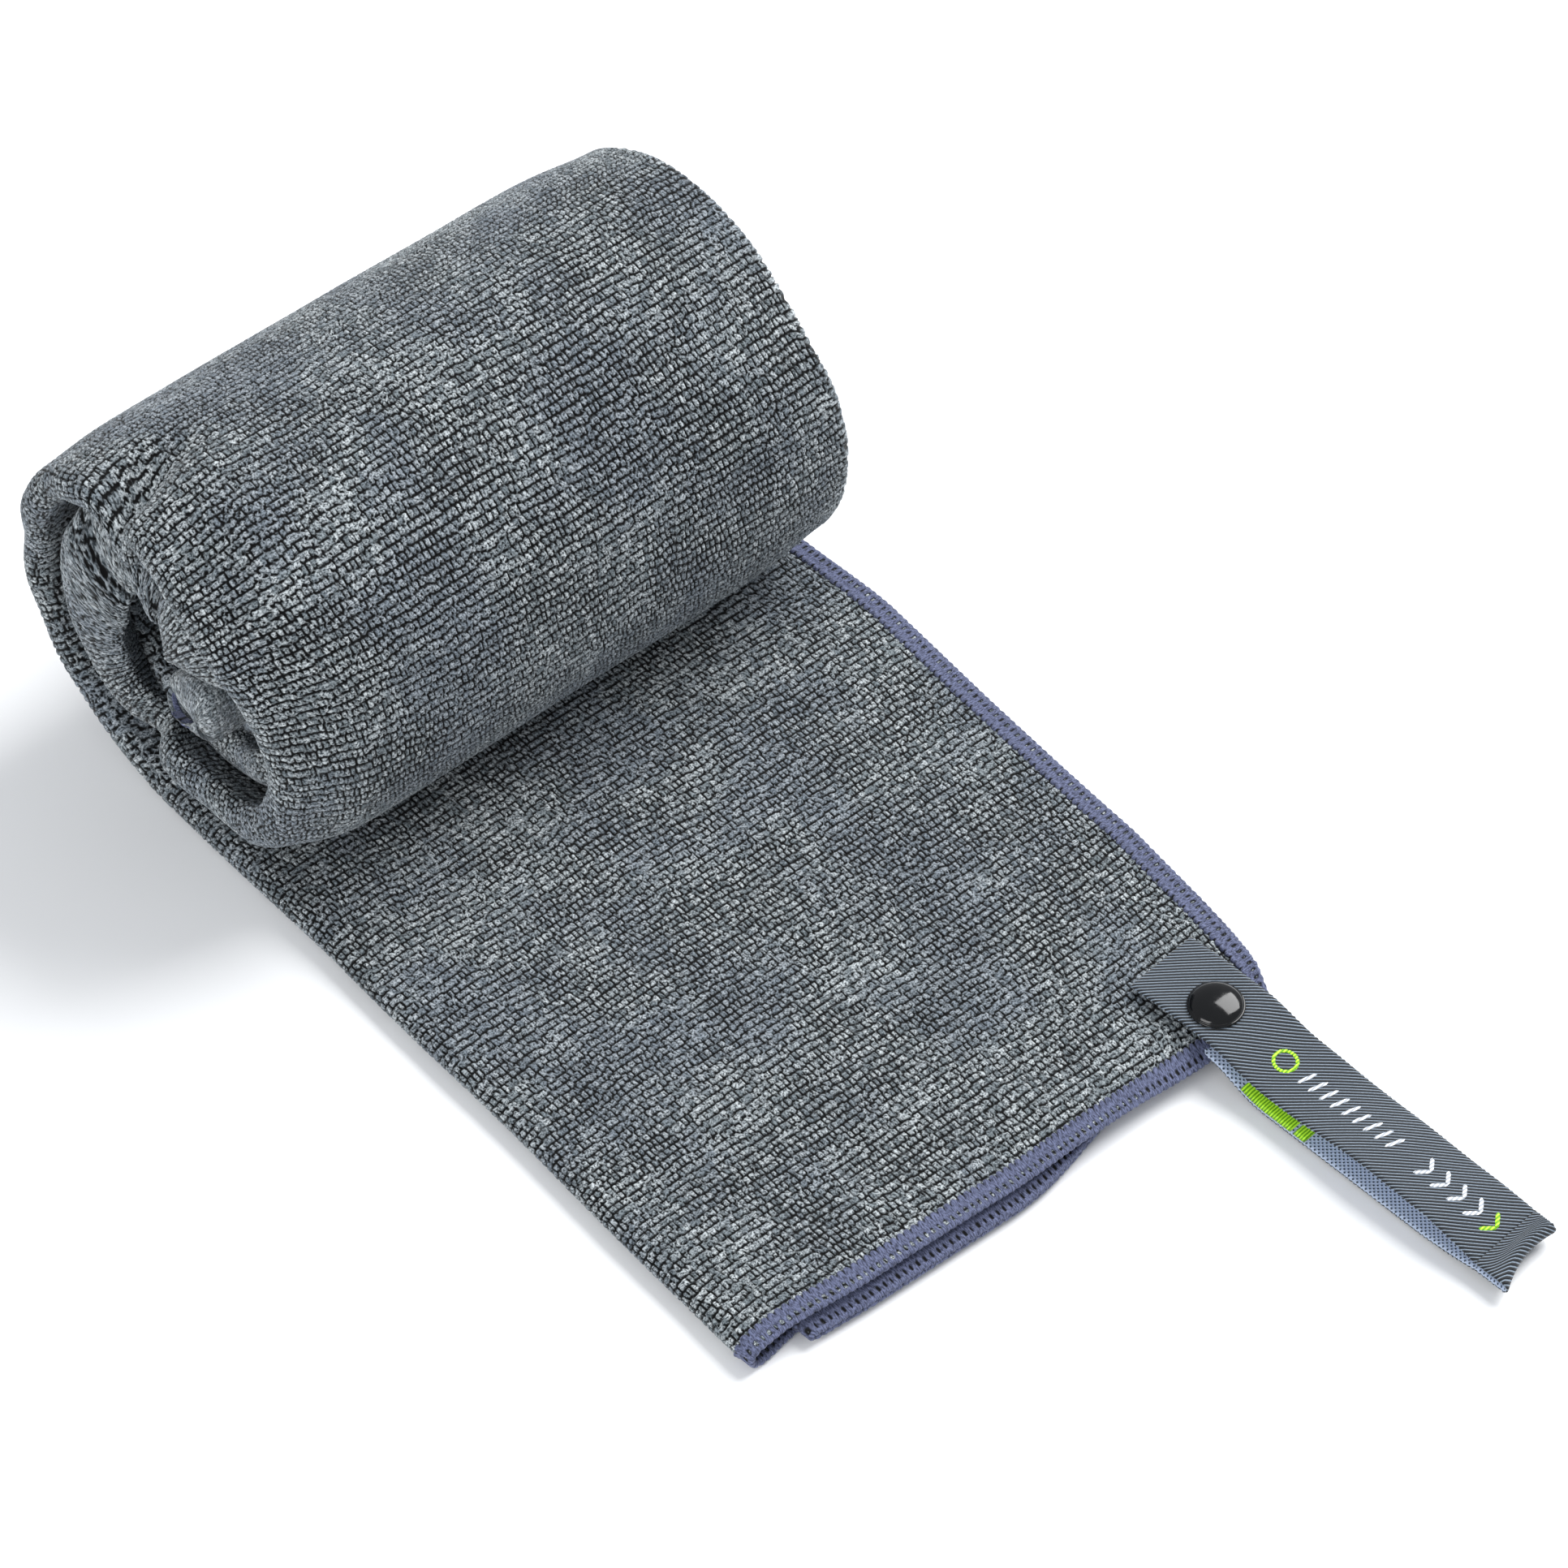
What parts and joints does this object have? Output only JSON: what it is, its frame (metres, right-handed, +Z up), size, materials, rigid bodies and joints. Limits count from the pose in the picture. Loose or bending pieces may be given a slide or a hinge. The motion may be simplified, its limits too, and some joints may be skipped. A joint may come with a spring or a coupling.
{
  "type": "quick dry towel",
  "caption": "Grey microfibre terry travel towel, folded into four and rolled, its free end laid flat, with a woven ribbon hanging loop that snaps onto the corner.",
  "frame": {"origin": "centre of the bounding box, on the surface the towel lies on", "axes": "+X from the roll towards the free end and the loop, +Y along the roll's axis to the hemmed long edge, +Z up"},
  "size_m": [0.3324, 0.1526, 0.101],
  "materials": {
    "terry": "microfibre terry, looped pile in rows, charcoal grey",
    "overlock_thread": "overlock stitching, blue-grey polyester thread",
    "twill_ribbon": "woven twill ribbon, slate face and pale blue reverse",
    "lime_weave": "satin weave bars, lime green",
    "white_weave": "satin weave figures, white",
    "snap_black": "black lacquered snap, polished"
  },
  "bodies": {
    "towel": {"flat_run": "terry", "roll_turn_1": "terry", "roll_turn_2": "terry", "roll_turn_3": "terry", "roll_turn_4": "terry", "roll_turn_5": "terry", "roll_core": "terry", "front_hem_outer": "overlock_thread", "front_hem_inner": "overlock_thread", "side_hem_upper": "overlock_thread", "side_hem_lower": "overlock_thread", "roll_side_hem": "overlock_thread", "far_end_hem": "overlock_thread", "loop_lower_ply": "twill_ribbon", "loop_bar_tack": "overlock_thread", "woven_bars": "lime_weave", "snap_stud": "snap_black", "snap_post": "snap_black"},
    "loop_flap": {"loop_upper_ply": "twill_ribbon", "loop_fold": "twill_ribbon", "woven_mark": "white_weave", "snap_cap": "snap_black", "snap_socket": "snap_black"}
  },
  "joints": [
    {"name": "loop_open", "type": "hinge", "parent": "towel", "child": "loop_flap", "pos_m": [0.16393, 0.0658, 0.0035], "axis": [-0.0872, 0.9962, 0], "range_deg": [0, 150]}
  ]
}
